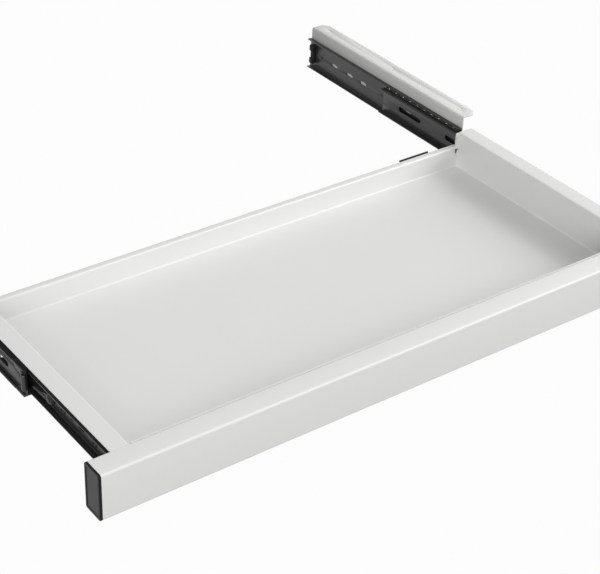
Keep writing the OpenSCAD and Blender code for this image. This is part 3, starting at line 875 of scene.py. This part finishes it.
def make_end_cap(side):
    """The cap: a face with a soft rim and a sunk panel, and a ribbed plug. The sunk panel's
    paler tone is painted light, standing for its lit outer face.
    """
    x0 = rail_high.x
    x1 = x0 + CAP_FACE
    edge = 0.45 * MM
    fall = 0.5 * MM
    loops = [(rail_outline(1.5 * MM, 1.0 * MM), x0 + 0.01 * MM),
             (rail_outline(0.1 * MM, RAIL_CORNER), x0 + 0.01 * MM),
             (rail_outline(0, RAIL_CORNER), x0 + 0.12 * MM),
             (rail_outline(0, RAIL_CORNER), x1 - edge)]
    for i in range(1, 5):
        a = math.radians(90 * i / 4)
        inset = edge * (1 - math.cos(a))
        loops.append((rail_outline(inset, RAIL_CORNER - inset), x1 - edge + edge * math.sin(a)))
    panel_r = 1.2 * MM
    loops += [(rail_outline(CAP_RIM, panel_r), x1),
              (rail_outline(CAP_RIM + 0.12 * MM, panel_r), x1 - 0.06 * MM),
              (rail_outline(CAP_RIM + fall, panel_r * 0.8), x1 - CAP_RECESS),
              (rail_outline(CAP_RIM + fall + 0.4 * MM, panel_r * 0.6), x1 - CAP_RECESS)]
    face = loft("end_cap_face_" + side, loops, along_x)
    # Faces of the sunk panel take the paler copy of the plastic, a painted lit face; the rest
    # keeps the plain black.
    for polygon in face.data.polygons:
        sunk = polygon.center.x > x1 - CAP_RECESS - 0.01 * MM
        inside = abs(polygon.center.y - (rail_low.y + rail_high.y) / 2) < \
            (rail_high.y - rail_low.y) / 2 - CAP_RIM
        polygon.material_index = 1 if sunk and inside and polygon.normal.x > 0.9 else 0
    gap = RAIL_WALL + PLUG_FREE
    depth = x0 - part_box("end_cap_right")[0].x
    plug = tube("end_cap_plug_" + side, rail_outline(gap + 0.35 * MM, 0.8 * MM),
                rail_outline(gap + PLUG_WALL, 0.5 * MM), along_x, x0 - depth, x0 + 0.2 * MM)
    ribs = []
    for share in (0.2, 0.45, 0.7):
        x = x0 - depth * share
        ribs.append(loft("plug_rib", [
            (rail_outline(gap + 0.5 * MM, 0.8 * MM), x - 0.9 * MM),
            (rail_outline(gap, 0.8 * MM), x),
            (rail_outline(gap + 0.5 * MM, 0.8 * MM), x + 0.3 * MM)], along_x))
    cap = joined("end_cap_" + side + "_moulding", [face, plug] + ribs)
    cap.data.materials.append(cap_plastic)
    cap.data.materials.append(cap_panel_painted_light)
    return smooth(cap, 32)


def joined(name, pieces):
    """One piece from several shells, with each face's material number kept."""
    bm = bmesh.new()
    for piece in pieces:
        bm.from_mesh(piece.data)
    mesh = bpy.data.meshes.new(name)
    bm.to_mesh(mesh)
    bm.free()
    for piece in pieces:
        drop(piece)
    result = bpy.data.objects.new(name, mesh)
    bpy.context.scene.collection.objects.link(result)
    return result


def rivet_seed(name, place, radius, height, base, shank, pin=0.8 * MM):
    """A blind rivet's head with the mandrel's end sunk in its middle."""
    profile = dome_profile(radius, height, base)
    profile = [(r, w) for r, w in profile if r > pin * 1.25 or w <= base + 1e-9]
    top = profile[-1][1]
    profile += [(pin * 1.2, top), (pin, top - height * 0.35), (0.0, top - height * 0.35)]
    head = turned(name, profile, place, steps=32)
    stem = rod(name + "_stem", radius * 0.5, base - shank, base + height * 0.1, place,
               steps=24)
    return joined(name, [head, stem])


def make_rail_rivets():
    """The rivets that hold the tray's front wall to the rail."""
    low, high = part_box("rail_rivets")
    radius = (high.z - low.z) / 2
    height = high.y - tray_front_y
    seed = rivet_seed("rail_rivet", along_y, radius, height, 0.0,
                      tray_front_y - low.y)
    pitch = (high.x - low.x - 2 * radius) / (RAIL_RIVETS - 1)
    level = (low.z + high.z) / 2
    points = [(low.x + radius + pitch * i, tray_front_y, level) for i in range(RAIL_RIVETS)]
    return copies("rail_rivet_heads", seed, points, zinc)


def make_rear_buffer():
    """The rubber strip on the back lip."""
    low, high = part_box("rear_buffer")
    strip = prism("rear_buffer_strip",
                  round_corners(low.y, low.z, high.y, high.z, 0.7 * MM, 5), along_x,
                  low.x, high.x)
    return soften(strip, 0.35 * MM, 3)


# ---- what the tray's walls carry ----
def make_weld_nuts(side):
    """The hexagon nuts welded to the tray's wall."""
    low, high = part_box("weld_nuts_right")
    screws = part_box("slide_screws_right")
    across = (high.z - low.z) / 2
    flats = across * math.cos(math.pi / 6)
    height = high.x - low.x
    nut = prism("weld_nut", [(across * math.cos(math.radians(60 * i + 30)),
                              across * math.sin(math.radians(60 * i + 30)))
                             for i in range(6)], along_x, 0.0, height)
    blank = turned("nut_blank", [(0.0, 0.0), (across, 0.0), (across, height - NUT_CHAMFER),
                                 (flats, height), (0.0, height)], along_x)
    combine(nut, "INTERSECT", blank)
    combine(nut, "DIFFERENCE", rod("nut_bore", NUT_BORE, -OVERSHOOT, height + OVERSHOOT,
                                   along_x, steps=32))
    soften(nut, 0.12 * MM)
    return copies(f"weld_nuts_{side}_welded", nut, screw_points(low.x, screws), zinc)


def screw_points(x, box):
    """The places of the three slide screws on one side."""
    radius = (box[1].z - box[0].z) / 2
    first = box[0].y + radius
    last = box[1].y - radius
    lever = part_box("lever_rivet_right")
    middle = (lever[0].y + lever[1].y) / 2 - SCREW_PITCH_TO_LEVER
    return [(x, y, slide_z) for y in (first, middle, last)]


def make_slide_screws(side):
    """Pan head screws with a cross recess."""
    low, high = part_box("slide_screws_right")
    seat = drawer_low.x + SLIDE_SHEET
    radius = (high.z - low.z) / 2
    height = high.x - seat
    profile = [(0.0, low.x - seat), (SCREW_SHANK, low.x - seat), (SCREW_SHANK, 0.0)]
    profile += dome_profile(radius, height, 0.0, seat=0.7 * MM, steps=10)[1:]
    screw = turned("slide_screw", profile, along_x)
    for turn in (0, 90):
        arm = box_piece("cross_arm", (height - RECESS_DEPTH, -RECESS_HALF_LENGTH,
                                      -RECESS_HALF_WIDTH),
                        (height + OVERSHOOT, RECESS_HALF_LENGTH, RECESS_HALF_WIDTH))
        arm.data.transform(Matrix.Rotation(math.radians(turn), 4, "X"))
        combine(screw, "DIFFERENCE", arm)
    soften(screw, 0.1 * MM, 2, 50)
    return copies(f"slide_screws_{side}_fitted", screw,
                  screw_points(seat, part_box("slide_screws_right")), black_zinc)


# ---- slide members ----
def channel_path(x_back, x_lip, half, bend):
    """The middle of a channel's sheet, from the lower lip round to the upper one."""
    inset = SLIDE_SHEET / 2
    web = x_back + (inset if x_lip > x_back else -inset)
    corners = [(x_lip, slide_z - half + inset), (web, slide_z - half + inset),
               (web, slide_z + half - inset), (x_lip, slide_z + half - inset)]
    return divided(bent_path(corners, [bend, bend], 6), 0.35 * MM)


def make_drawer_member(side):
    """The inner rail, with its races pressed in from outside."""
    path = dented(channel_path(drawer_low.x, drawer_high.x, drawer_half, CHANNEL_BEND),
                  inner_race_x, -1, RACE_DENT)
    member = folded_strip(f"drawer_member_{side}_rolled", path, SLIDE_SHEET, along_y,
                          drawer_low.y, drawer_high.y)
    low = drawer_low.x - MM
    high = drawer_low.x + SLIDE_SHEET + MM
    length = drawer_high.y - drawer_low.y
    cuts = [rod("hole", SCREW_HOLE, low, high, along_x, (point[1], slide_z), 32)
            for point in screw_points(0.0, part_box("slide_screws_right"))]
    for y in (drawer_low.y + 14 * MM, drawer_low.y + 70 * MM, drawer_low.y + 182 * MM):
        cuts.append(prism("slot", slot_outline(y, slide_z, 11 * MM, 4.6 * MM), along_x,
                          low, high))
    cuts.append(rod("hole", 2.4 * MM, low, high, along_x,
                    (drawer_low.y + length * 0.4, slide_z), 32))
    combine(member, "DIFFERENCE", *cuts)
    return soften(member, SLIDE_EDGE)


def lever_outline():
    """The release lever's outline in Y and Z about its pivot."""
    tip = Vector((LEVER_LENGTH - LEVER_TIP, LEVER_DROP))
    outline = []
    for i in range(25):
        a = math.radians(80 + 190 * i / 24)
        outline.append((LEVER_HUB * math.cos(a), LEVER_HUB * math.sin(a)))
    for i in range(13):
        a = math.radians(-95 + 170 * i / 12)
        outline.append((tip.x + LEVER_TIP * math.cos(a), tip.y + LEVER_TIP * math.sin(a)))
    return outline + [(LEVER_LENGTH * 0.62, -1.3 * MM), (LEVER_LENGTH * 0.45, -0.2 * MM),
                      (LEVER_LENGTH * 0.3, 2.2 * MM)]


def make_release_lever(side):
    """The lever, with a raised web and a round pad at its tip."""
    low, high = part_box("release_lever_right")
    rivet_low, rivet_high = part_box("lever_rivet_right")
    y = (rivet_low.y + rivet_high.y) / 2
    body = prism("lever_body", [(y + u, slide_z + v) for u, v in lever_outline()], along_x,
                 low.x, low.x + 3.2 * MM)
    hub = turned("lever_hub", [(0.0, low.x), (4.4 * MM, low.x), (4.4 * MM, high.x - 0.3 * MM),
                               (4.1 * MM, high.x), (0.0, high.x)], along_x, (y, slide_z))
    tip_y = y + LEVER_LENGTH - LEVER_TIP
    tip_z = slide_z + LEVER_DROP
    pad = turned("lever_pad", [(0.0, low.x), (1.9 * MM, low.x), (1.9 * MM, high.x - 0.3 * MM),
                               (1.5 * MM, high.x), (0.0, high.x)], along_x, (tip_y, tip_z))
    spine = prism("lever_spine", [(y + 3 * MM, slide_z - 0.6 * MM),
                                  (tip_y, tip_z - 0.5 * MM), (tip_y, tip_z + 0.5 * MM),
                                  (y + 3 * MM, slide_z + 0.6 * MM)], along_x,
                  low.x + MM, high.x - 0.4 * MM)
    combine(body, "UNION", hub, pad, spine)
    combine(body, "DIFFERENCE", rod("lever_bore", LEVER_BORE, low.x - OVERSHOOT,
                                    high.x + OVERSHOOT, along_x, (y, slide_z)))
    body.name = f"release_lever_{side}_moulding"
    return soften(body, 0.25 * MM)


def make_lever_rivet(side):
    """The rivet that the lever turns on."""
    low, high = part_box("lever_rivet_right")
    radius = (high.z - low.z) / 2
    base = high.x - LEVER_SEAT
    seed = turned("lever_rivet_head",
                  [(0.0, low.x), (1.8 * MM, low.x), (1.8 * MM, base)]
                  + dome_profile(radius, LEVER_SEAT, base, seat=0.2 * MM)[1:], along_x,
                  ((low.y + high.y) / 2, slide_z))
    seed.name = f"lever_rivet_{side}_set"
    return smooth(seed)


def ball_places(kind):
    """The Y of each ball of a cage."""
    low, high, _, _, count = CAGES[kind]
    return [low.y + (high.y - low.y) * (i + 0.5) / count for i in range(count)]


def make_cage(kind, side):
    """A pressed ball cage: a web with a window, and two rows of pockets."""
    low, high, race_x, race_z, _ = CAGES[kind]
    web = high.x - CAGE_SHEET / 2
    corners = [(low.x, slide_z - race_z), (web, slide_z - race_z),
               (web, slide_z + race_z), (low.x, slide_z + race_z)]
    path = bent_path(corners, [CAGE_BEND, CAGE_BEND], 5)
    cage = folded_strip(f"{kind}_cage_{side}_pressed", path, CAGE_SHEET, along_y, low.y, high.y)
    reach = race_z - CAGE_WINDOW_MARGIN
    cuts = [prism("window", round_corners(low.y + CAGE_WINDOW_END, slide_z - reach,
                                          high.y - CAGE_WINDOW_END, slide_z + reach,
                                          2.5 * MM, 6), along_x,
                  web - OVERSHOOT, web + OVERSHOOT)]
    beyond = race_z + 2 * OVERSHOOT
    cuts += [rod("pocket", BALL_RADIUS + POCKET_FREE, slide_z - beyond, slide_z + beyond,
                 along_z, (race_x, y), 24) for y in ball_places(kind)]
    combine(cage, "DIFFERENCE", *cuts)
    return soften(cage, 0.08 * MM, 1)


def ball_seed(z):
    """One ball above and one below the slide's middle, at the height z."""
    balls = []
    for end in (-1, 1):
        profile = [(0.0, end * z - BALL_RADIUS)]
        for i in range(1, 12):
            a = math.pi * i / 12
            profile.append((BALL_RADIUS * math.sin(a), end * z - BALL_RADIUS * math.cos(a)))
        profile.append((0.0, end * z + BALL_RADIUS))
        balls.append(turned("ball", profile, along_z, steps=20))
    return joined("ball_pair", balls)


def make_balls(kind, side):
    """The balls of one cage."""
    _, _, race_x, race_z, _ = CAGES[kind]
    points = [(race_x, y, slide_z) for y in ball_places(kind)]
    return copies(f"{kind}_balls_{side}_set", ball_seed(race_z), points, ball_steel)


def clip_outline(margin):
    """The edge between the front clip and the steel, from the bottom flange to the top."""
    y0 = middle_low.y
    centre = (y0 + CLIP_LENGTH - TONGUE_RADIUS + 2 * MM, slide_z + TONGUE_DROP)
    radius = TONGUE_RADIUS - margin
    ease = CLIP_EASE
    outline = [(y0 + CLIP_LIP + margin, slide_z - middle_half - 2 * MM)]
    for i in range(7):
        a = math.radians(90 * i / 6)
        outline.append((y0 + CLIP_LIP + margin - ease * (1 - math.cos(a)),
                        centre[1] - radius - ease + ease * math.sin(a)))
    for i in range(1, 25):
        a = math.radians(270 - 180 * i / 24)
        outline.append((centre[0] + radius * math.cos(a), centre[1] + radius * math.sin(a)))
    outline += [(y0 + CLIP_LENGTH + margin - ease, centre[1] + radius)]
    for i in range(1, 7):
        a = math.radians(90 * i / 6)
        outline.append((y0 + CLIP_LENGTH + margin - ease + ease * math.sin(a),
                        centre[1] + radius + ease * (1 - math.cos(a))))
    outline += [(y0 + CLIP_LENGTH + margin, slide_z + middle_half + 2 * MM)]
    return outline


def clip_cut():
    """What the front clip takes the place of in the steel."""
    y0 = middle_low.y
    beyond = middle_half + 2 * MM
    outline = [(y0 - MM, slide_z - beyond)] + clip_outline(0.0) + [(y0 - MM, slide_z + beyond)]
    return prism("clip_cut", outline, along_x, middle_low.x - MM, middle_high.x + 2 * MM)


def make_intermediate_member(side):
    """The middle rail: a slotted web with a proud band, and a flange for each race."""
    inset = SLIDE_SHEET / 2
    web_x = middle_web_x + inset
    edge = middle_half - inset
    ease = BAND_RISE
    steps = [(web_x, -edge), (web_x, -BAND_HALF - ease), (web_x + BAND_RISE, -BAND_HALF),
             (web_x + BAND_RISE, BAND_HALF), (web_x, BAND_HALF + ease), (web_x, edge)]
    path = bent_path([(x, slide_z + z) for x, z in steps], [WEB_BEND] * 4, 5)
    web = folded_strip("web", path, SLIDE_SHEET, along_y, middle_low.y, middle_high.y)
    slots = [prism("slot", slot_outline(middle_low.y + SLOT_FIRST + SLOT_PITCH * i, slide_z,
                                        SLOT_LENGTH, SLOT_HEIGHT), along_x,
                   middle_web_x - 2 * MM, middle_web_x + 4 * MM) for i in range(SLOT_COUNT)]
    combine(web, "DIFFERENCE", clip_cut(), *slots)
    strips = [soften(web, SLIDE_EDGE)]
    for end in (-1, 1):
        level = slide_z + end * edge
        line = divided([Vector((middle_low.x, level)), Vector((middle_high.x, level))],
                       0.3 * MM)
        line = dented(line, inner_race_x, 1, RACE_DENT)
        line = dented(line, outer_race_x, -1, RACE_DENT)
        flange = folded_strip("flange", line, SLIDE_SHEET, along_y,
                              middle_low.y, middle_high.y)
        reach = CLIP_LENGTH if end > 0 else CLIP_LIP
        outer = box_piece("clip_cut", (middle_web_x, middle_low.y - MM, level - 2 * MM),
                          (middle_high.x + MM, middle_low.y + reach, level + 2 * MM))
        combine(flange, "DIFFERENCE", outer)
        strips.append(soften(flange, SLIDE_EDGE))
    return joined(f"intermediate_member_{side}_rolled", strips)


def make_front_clip(side):
    """The plastic clip: a plate that closes round the steel's tongue, jaws and bumper."""
    y0 = middle_low.y
    seam = -CLIP_SEAM
    outline = [(y0, slide_z - middle_half)]
    outline += [(y, max(slide_z - middle_half, min(slide_z + middle_half, z)))
                for y, z in clip_outline(seam)]
    outline += [(y0, slide_z + middle_half)]
    plate = prism(f"front_clip_{side}_moulding", outline, along_x,
                  middle_web_x, middle_web_x + SLIDE_SHEET + 0.5 * MM)
    parts = []
    for end in (-1, 1):
        reach = CLIP_LENGTH if end > 0 else CLIP_LIP
        z0, z1 = sorted((slide_z + end * middle_half, slide_z + end * (middle_half - 2.2 * MM)))
        parts.append(prism("jaw", round_corners(middle_web_x, z0, middle_high.x, z1,
                                                0.7 * MM, 4), along_y, y0,
                           y0 + reach - CLIP_SEAM))
    for z in (-9.5, 7.5, 10.5):
        parts.append(box_piece("rib", (middle_web_x + MM, y0 + 1.5 * MM,
                                       slide_z + z * MM - 0.35 * MM),
                               (middle_high.x - 0.8 * MM, y0 + 6 * MM,
                                slide_z + z * MM + 0.35 * MM)))
    low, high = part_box("front_clip_right")
    radius = (high.x - low.x) / 2
    profile = [(0.0, slide_z - 9 * MM), (radius * 0.75, slide_z - 9 * MM),
               (radius, slide_z - 8 * MM), (radius, slide_z + 8 * MM),
               (radius * 0.75, slide_z + 9 * MM), (0.0, slide_z + 9 * MM)]
    parts.append(turned("bumper", profile, along_z, (low.x + radius, low.y + radius)))
    combine(plate, "UNION", *parts)
    return soften(plate, 0.2 * MM)


def make_cabinet_member(side):
    """The outer rail, with its races pressed out."""
    path = dented(channel_path(cabinet_high.x, cabinet_low.x, cabinet_half,
                               CHANNEL_BEND),
                  outer_race_x, 1, RACE_DENT)
    member = folded_strip(f"cabinet_member_{side}_rolled", path, SLIDE_SHEET, along_y,
                          cabinet_low.y, cabinet_high.y)
    low = cabinet_high.x - SLIDE_SHEET - MM
    high = cabinet_high.x + MM
    cuts = []
    for y in (-118, -84, -52, 38, 66, 98):
        cuts.append(prism("slot", slot_outline(y * MM, slide_z, 12 * MM, 4.6 * MM), along_x,
                          low, high))
    combine(member, "DIFFERENCE", *cuts)
    return soften(member, SLIDE_EDGE)


def make_rear_stop(side):
    """The rubber stop at the back of the outer rail."""
    low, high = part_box("rear_stop_right")
    stop = prism(f"rear_stop_{side}_moulding",
                 round_corners(low.x, low.z, high.x, high.z, 1.4 * MM, 5), along_y,
                 low.y, high.y)
    combine(stop, "DIFFERENCE",
            box_piece("relief", (low.x - MM, low.y - MM, slide_z - 5 * MM),
                      (low.x + 2 * MM, high.y + MM, slide_z + 5 * MM)))
    return soften(stop, 0.4 * MM, 3)


# ---- brackets ----
def make_bracket(side):
    """The angle bracket, with its desk screw holes and clipped corners."""
    low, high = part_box("bracket_right")
    half = BRACKET_SHEET / 2
    path = bent_path([(low.x + half, low.z), (low.x + half, high.z - half),
                      (high.x, high.z - half)], [FLANGE_BEND + half], 10)
    bracket = folded_strip(f"bracket_{side}_folded", path, BRACKET_SHEET, along_y,
                           low.y, high.y)
    mounts = {m["name"]: m for m in frame["record"]["mounts"]}
    dims = mounts["desk_screws"]["dims"]
    x = dims["spacing_x_mm"] * MM / 2
    cuts = []
    for step in (-1, 0, 1):
        y = step * dims["spacing_y_mm"] * MM / 2
        cuts.append(rod("desk_hole", DESK_HOLE, high.z - 4 * MM, high.z + OVERSHOOT,
                        along_z, (x, y)))
    corner = BRACKET_CORNER / math.sqrt(2)
    for y in (low.y, high.y):
        cuts.append(prism("corner_clip", [(high.x + corner, y), (high.x, y + corner),
                                          (high.x - corner, y), (high.x, y - corner)],
                          along_z, high.z - 3 * MM, high.z + MM))
    combine(bracket, "DIFFERENCE", *cuts)
    return soften(bracket, 0.25 * MM)


def make_cabinet_rivets(side):
    """The rivets that hold the outer rail to its bracket."""
    low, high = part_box("cabinet_rivets_right")
    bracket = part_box("bracket_right")
    base = bracket[0].x + BRACKET_SHEET
    radius = (high.z - low.z) / 2
    seed = rivet_seed("cabinet_rivet", along_x, radius, high.x - base, 0.0,
                      base - low.x, pin=1.1 * MM)
    first = low.y + radius
    last = high.y - radius
    points = [(base, y, slide_z) for y in (first, (first + last) / 2, last)]
    return copies(f"cabinet_rivets_{side}_set", seed, points, zinc)


# ---- camera, light and floor ----
def add_camera():
    """The camera, in front of the drawer's left end and above it."""
    data = bpy.data.cameras.new("camera")
    data.sensor_width = 36.0
    data.lens = 98.52
    data.clip_end = 50.0
    camera = bpy.data.objects.new("camera", data)
    bpy.context.scene.collection.objects.link(camera)
    forward = Vector((0.50743, 0.66670, -0.54592)).normalized()
    right = Vector((0.80831, -0.58781, 0.03345))
    right = (right - forward * right.dot(forward)).normalized()
    up = right.cross(forward)
    turn = Matrix((right, up, -forward)).transposed().to_4x4()
    camera.matrix_world = Matrix.Translation((-0.86745, -1.4196, 0.8833)) @ turn
    bpy.context.scene.camera = camera


def add_soft_light(name, place, target, width, height, power, tint=(1.0, 1.0, 1.0)):
    """A large soft panel that faces its target."""
    data = bpy.data.lights.new(name, "AREA")
    data.shape = "RECTANGLE"
    data.size = width
    data.size_y = height
    data.energy = power
    data.color = tint
    light = bpy.data.objects.new(name, data)
    bpy.context.scene.collection.objects.link(light)
    light.location = place
    aim = Vector(target) - Vector(place)
    light.rotation_euler = aim.to_track_quat("-Z", "Y").to_euler()


def add_studio():
    """A pale floor well below the drawer, a white tent round it, and four soft panels."""
    bm = bmesh.new()
    bmesh.ops.create_grid(bm, x_segments=1, y_segments=1, size=12.0)
    floor = new_piece("studio_floor", bm)
    floor.data.transform(Matrix.Translation((0, 0, -FLOOR_DROP)))
    floor.data.materials.append(studio_floor_material())
    bm = bmesh.new()
    bmesh.ops.create_uvsphere(bm, u_segments=48, v_segments=24, radius=TENT_RADIUS)
    tent = new_piece("studio_light_tent", bm)
    glow, tree, _ = blank_material("studio_light_tent_white")
    tree.links.new(white_glow(tree), tree.nodes["Material Output"].inputs["Surface"])
    glow.cycles.emission_sampling = "NONE"
    tent.data.materials.append(glow)
    tent.visible_diffuse = False
    tent.visible_shadow = False
    world = bpy.data.worlds.new("studio")
    world.use_nodes = True
    world.node_tree.nodes["Background"].inputs["Color"].default_value = (1.0, 1.0, 1.0, 1.0)
    world.node_tree.nodes["Background"].inputs["Strength"].default_value = WORLD_LIGHT
    bpy.context.scene.world = world
    middle = (0, -0.3, 0)
    add_soft_light("key_right", (2.6, -2.2, 1.9), middle, 2.5, 2.5, 102)
    add_soft_light("side_right", (3.2, 0.2, 1.2), middle, 2.5, 2.5, 71)
    add_soft_light("fill_left", (-2.5, -2.5, 1.6), middle, 2.5, 2.5, 93)
    add_soft_light("overhead", (0.0, -0.3, 3.0), middle, 3.0, 3.0, 15)


def white_glow(tree):
    """A plain white emission."""
    glow = tree.nodes.new("ShaderNodeEmission")
    glow.inputs["Color"].default_value = (1.0, 1.0, 1.0, 1.0)
    glow.inputs["Strength"].default_value = TENT_WHITE
    return glow.outputs["Emission"]


def studio_floor_material():
    """White to the eye and in reflections, pale grey for the light it throws back."""
    material, tree, shader = blank_material("studio_floor_white", Roughness=0.9,
                                            Specular_IOR_Level=0.1)
    mottle = noise_node(tree, 3.0, 2.0)
    tree.links.new(two_tone(tree, mottle.outputs[0], (0.39, 0.39, 0.39), (0.41, 0.41, 0.41)),
                   shader.inputs["Base Color"])
    rays = tree.nodes.new("ShaderNodeLightPath")
    seen = math_node(tree, "MAXIMUM", rays.outputs["Is Camera Ray"],
                     rays.outputs["Is Glossy Ray"])
    mix = tree.nodes.new("ShaderNodeMixShader")
    tree.links.new(seen, mix.inputs["Fac"])
    tree.links.new(shader.outputs["BSDF"], mix.inputs[1])
    tree.links.new(white_glow(tree), mix.inputs[2])
    tree.links.new(mix.outputs["Shader"], tree.nodes["Material Output"].inputs["Surface"])
    material.cycles.emission_sampling = "NONE"
    return material


def dress():
    """Every finished piece, in the order of the parts list."""
    finish(make_tray_pan(), "drawer", "tray_paint", tray_paint, "tray_pan")
    finish(make_front_rail(), "drawer", "rail_paint", rail_paint, "front_rail")
    both_sides(make_end_cap, "drawer", "cap_plastic", cap_plastic, "end_cap")
    finish(make_rail_rivets(), "drawer", "fastener_zinc", zinc, "rail_rivets")
    finish(make_rear_buffer(), "drawer", "buffer_rubber", buffer_rubber, "rear_buffer")
    both_sides(make_weld_nuts, "drawer", "fastener_zinc", zinc, "weld_nuts")
    both_sides(make_slide_screws, "drawer", "screw_black", black_zinc, "slide_screws")
    both_sides(make_drawer_member, "drawer", "slide_black", slide_black, "drawer_member")
    both_sides(make_release_lever, "lever_SIDE", "lever_plastic", lever_plastic,
               "release_lever", handed=True)
    both_sides(make_lever_rivet, "drawer", "screw_black", black_zinc, "lever_rivet")
    for kind in CAGES:
        both_sides(lambda side: make_cage(kind, side), f"{kind}_cage_SIDE", "cage_steel",
                   cage_steel, f"{kind}_cage")
        both_sides(lambda side: make_balls(kind, side), f"{kind}_cage_SIDE", "ball_steel",
                   ball_steel, f"{kind}_balls")
    both_sides(make_intermediate_member, "intermediate_SIDE", "slide_black", slide_black,
               "intermediate_member", handed=True)
    both_sides(make_front_clip, "intermediate_SIDE", "clip_plastic", clip_plastic,
               "front_clip", handed=True)
    both_sides(make_cabinet_member, "desk_rails", "slide_black", slide_black,
               "cabinet_member")
    both_sides(make_rear_stop, "desk_rails", "buffer_rubber", buffer_rubber, "rear_stop")
    both_sides(make_bracket, "desk_rails", "bracket_paint", bracket_paint, "bracket")
    both_sides(make_cabinet_rivets, "desk_rails", "fastener_zinc", zinc, "cabinet_rivets")


add_camera()
add_studio()
bpy.context.scene.view_settings.view_transform = "Standard"
dress()
